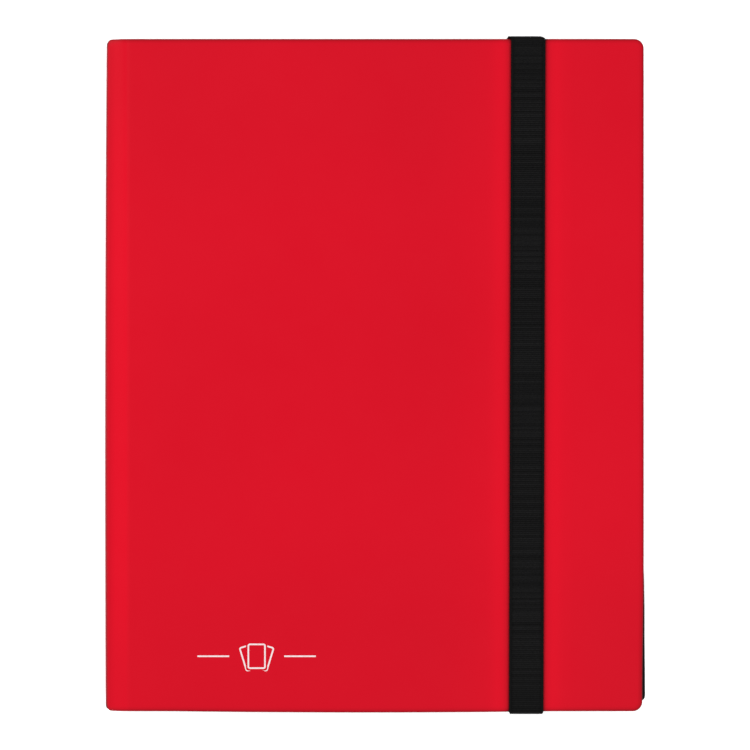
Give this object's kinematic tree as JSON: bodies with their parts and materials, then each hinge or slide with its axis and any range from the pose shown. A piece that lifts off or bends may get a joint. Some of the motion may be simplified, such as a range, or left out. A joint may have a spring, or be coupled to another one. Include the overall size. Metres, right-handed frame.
{
  "type": "trading card binder",
  "caption": "Slim nine-pocket trading card binder with a flexible red cover, side-loading black pages, and a woven elastic strap that holds it shut.",
  "frame": {"origin": "middle of the outer face of the back cover, with the binder closed and lying on it", "axes": "+X from the spine to the fore edge, +Y from the foot to the head, +Z from the back cover to the front cover"},
  "size_m": [0.254, 0.3206, 0.0311],
  "materials": {
    "cover_plastic": "satin red polypropylene sheet with a very fine grain",
    "lining_plastic": "matte black polypropylene with a fine grain",
    "page_plastic": "matte black",
    "pocket_film": "clear, glossy, welded at the seams",
    "strap_elastic": "ribbed woven elastic with a plain selvage",
    "stitch_thread": "twisted thread",
    "emblem_ink": "screen-printed white ink"
  },
  "bodies": {
    "back_cover": {"back_cover_panel": "cover_plastic", "back_fold_crease": "cover_plastic", "back_cover_lining": "lining_plastic", "strap_head_end": "strap_elastic", "strap_foot_end": "strap_elastic", "strap_bar_tacks": "stitch_thread"},
    "spine": {"spine_panel": "cover_plastic", "spine_lining": "lining_plastic", "binding_strip": "page_plastic"},
    "front_cover": {"front_cover_panel": "cover_plastic", "front_fold_crease": "cover_plastic", "front_cover_lining": "lining_plastic", "cover_emblem": "emblem_ink"},
    "strap": {"elastic_strap": "strap_elastic"},
    "page_01": {"page_01_sheet": "page_plastic", "page_01_pockets": "pocket_film"},
    "page_02": {"page_02_sheet": "page_plastic", "page_02_pockets": "pocket_film"},
    "page_03": {"page_03_sheet": "page_plastic", "page_03_pockets": "pocket_film"},
    "page_04": {"page_04_sheet": "page_plastic", "page_04_pockets": "pocket_film"},
    "page_05": {"page_05_sheet": "page_plastic", "page_05_pockets": "pocket_film"},
    "page_06": {"page_06_sheet": "page_plastic", "page_06_pockets": "pocket_film"},
    "page_07": {"page_07_sheet": "page_plastic", "page_07_pockets": "pocket_film"},
    "page_08": {"page_08_sheet": "page_plastic", "page_08_pockets": "pocket_film"},
    "page_09": {"page_09_sheet": "page_plastic", "page_09_pockets": "pocket_film"},
    "page_10": {"page_10_sheet": "page_plastic", "page_10_pockets": "pocket_film"},
    "page_11": {"page_11_sheet": "page_plastic", "page_11_pockets": "pocket_film"},
    "page_12": {"page_12_sheet": "page_plastic", "page_12_pockets": "pocket_film"},
    "page_13": {"page_13_sheet": "page_plastic", "page_13_pockets": "pocket_film"},
    "page_14": {"page_14_sheet": "page_plastic", "page_14_pockets": "pocket_film"},
    "page_15": {"page_15_sheet": "page_plastic", "page_15_pockets": "pocket_film"},
    "page_16": {"page_16_sheet": "page_plastic", "page_16_pockets": "pocket_film"},
    "page_17": {"page_17_sheet": "page_plastic", "page_17_pockets": "pocket_film"},
    "page_18": {"page_18_sheet": "page_plastic", "page_18_pockets": "pocket_film"},
    "page_19": {"page_19_sheet": "page_plastic", "page_19_pockets": "pocket_film"},
    "page_20": {"page_20_sheet": "page_plastic", "page_20_pockets": "pocket_film"}
  },
  "joints": [
    {"name": "spine_tilt", "type": "hinge", "parent": "back_cover", "child": "spine", "pos_m": [-0.12657, 0, 0.00043], "axis": [0, -1, 0], "range_deg": [0, 90], "deforming": ["back_fold_crease"]},
    {"name": "front_cover_open", "type": "hinge", "parent": "spine", "child": "front_cover", "pos_m": [-0.12657, 0, 0.02957], "axis": [0, -1, 0], "range_deg": [0, 90], "deforming": ["front_fold_crease"]},
    {"name": "strap_flip", "type": "hinge", "parent": "back_cover", "child": "strap", "pos_m": [0.0725, 0, 0.015], "axis": [0, 1, 0], "range_deg": [0, 180], "deforming": ["elastic_strap"]},
    {"name": "page_01_turn", "type": "hinge", "parent": "spine", "child": "page_01", "pos_m": [-0.124, 0, 0.00441], "axis": [0, -1, 0], "range_deg": [-84, 0]},
    {"name": "page_02_turn", "type": "hinge", "parent": "spine", "child": "page_02", "pos_m": [-0.124, 0, 0.00564], "axis": [0, -1, 0], "range_deg": [-81, 0]},
    {"name": "page_03_turn", "type": "hinge", "parent": "spine", "child": "page_03", "pos_m": [-0.124, 0, 0.00686], "axis": [0, -1, 0], "range_deg": [-78.1, 0]},
    {"name": "page_04_turn", "type": "hinge", "parent": "spine", "child": "page_04", "pos_m": [-0.124, 0, 0.00809], "axis": [0, -1, 0], "range_deg": [-75, 0]},
    {"name": "page_05_turn", "type": "hinge", "parent": "spine", "child": "page_05", "pos_m": [-0.124, 0, 0.00931], "axis": [0, -1, 0], "range_deg": [-72, 0]},
    {"name": "page_06_turn", "type": "hinge", "parent": "spine", "child": "page_06", "pos_m": [-0.124, 0, 0.01054], "axis": [0, -1, 0], "range_deg": [-69.1, 0]},
    {"name": "page_07_turn", "type": "hinge", "parent": "spine", "child": "page_07", "pos_m": [-0.124, 0, 0.01176], "axis": [0, -1, 0], "range_deg": [-66, 0]},
    {"name": "page_08_turn", "type": "hinge", "parent": "spine", "child": "page_08", "pos_m": [-0.124, 0, 0.01299], "axis": [0, -1, 0], "range_deg": [-63, 0]},
    {"name": "page_09_turn", "type": "hinge", "parent": "spine", "child": "page_09", "pos_m": [-0.124, 0, 0.01421], "axis": [0, -1, 0], "range_deg": [-60.1, 0]},
    {"name": "page_10_turn", "type": "hinge", "parent": "spine", "child": "page_10", "pos_m": [-0.124, 0, 0.01544], "axis": [0, -1, 0], "range_deg": [-57, 0]},
    {"name": "page_11_turn", "type": "hinge", "parent": "spine", "child": "page_11", "pos_m": [-0.124, 0, 0.01666], "axis": [0, -1, 0], "range_deg": [0, 57]},
    {"name": "page_12_turn", "type": "hinge", "parent": "spine", "child": "page_12", "pos_m": [-0.124, 0, 0.01789], "axis": [0, -1, 0], "range_deg": [0, 60.1]},
    {"name": "page_13_turn", "type": "hinge", "parent": "spine", "child": "page_13", "pos_m": [-0.124, 0, 0.01911], "axis": [0, -1, 0], "range_deg": [0, 63]},
    {"name": "page_14_turn", "type": "hinge", "parent": "spine", "child": "page_14", "pos_m": [-0.124, 0, 0.02034], "axis": [0, -1, 0], "range_deg": [0, 66]},
    {"name": "page_15_turn", "type": "hinge", "parent": "spine", "child": "page_15", "pos_m": [-0.124, 0, 0.02156], "axis": [0, -1, 0], "range_deg": [0, 69.1]},
    {"name": "page_16_turn", "type": "hinge", "parent": "spine", "child": "page_16", "pos_m": [-0.124, 0, 0.02279], "axis": [0, -1, 0], "range_deg": [0, 72]},
    {"name": "page_17_turn", "type": "hinge", "parent": "spine", "child": "page_17", "pos_m": [-0.124, 0, 0.02401], "axis": [0, -1, 0], "range_deg": [0, 75]},
    {"name": "page_18_turn", "type": "hinge", "parent": "spine", "child": "page_18", "pos_m": [-0.124, 0, 0.02524], "axis": [0, -1, 0], "range_deg": [0, 78.1]},
    {"name": "page_19_turn", "type": "hinge", "parent": "spine", "child": "page_19", "pos_m": [-0.124, 0, 0.02646], "axis": [0, -1, 0], "range_deg": [0, 81]},
    {"name": "page_20_turn", "type": "hinge", "parent": "spine", "child": "page_20", "pos_m": [-0.124, 0, 0.02769], "axis": [0, -1, 0], "range_deg": [0, 84]}
  ],
  "couplings": [
    {"joint": "front_cover_open", "follows": "spine_tilt", "ratio": 1},
    {"joint": "strap_flip", "follows": "spine_tilt", "ratio": 2},
    {"joint": "page_01_turn", "follows": "spine_tilt", "ratio": -0.93333},
    {"joint": "page_02_turn", "follows": "spine_tilt", "ratio": -0.9},
    {"joint": "page_03_turn", "follows": "spine_tilt", "ratio": -0.86667},
    {"joint": "page_04_turn", "follows": "spine_tilt", "ratio": -0.83333},
    {"joint": "page_05_turn", "follows": "spine_tilt", "ratio": -0.8},
    {"joint": "page_06_turn", "follows": "spine_tilt", "ratio": -0.76667},
    {"joint": "page_07_turn", "follows": "spine_tilt", "ratio": -0.73333},
    {"joint": "page_08_turn", "follows": "spine_tilt", "ratio": -0.7},
    {"joint": "page_09_turn", "follows": "spine_tilt", "ratio": -0.66667},
    {"joint": "page_10_turn", "follows": "spine_tilt", "ratio": -0.63333},
    {"joint": "page_11_turn", "follows": "spine_tilt", "ratio": 0.63333},
    {"joint": "page_12_turn", "follows": "spine_tilt", "ratio": 0.66667},
    {"joint": "page_13_turn", "follows": "spine_tilt", "ratio": 0.7},
    {"joint": "page_14_turn", "follows": "spine_tilt", "ratio": 0.73333},
    {"joint": "page_15_turn", "follows": "spine_tilt", "ratio": 0.76667},
    {"joint": "page_16_turn", "follows": "spine_tilt", "ratio": 0.8},
    {"joint": "page_17_turn", "follows": "spine_tilt", "ratio": 0.83333},
    {"joint": "page_18_turn", "follows": "spine_tilt", "ratio": 0.86667},
    {"joint": "page_19_turn", "follows": "spine_tilt", "ratio": 0.9},
    {"joint": "page_20_turn", "follows": "spine_tilt", "ratio": 0.93333}
  ]
}
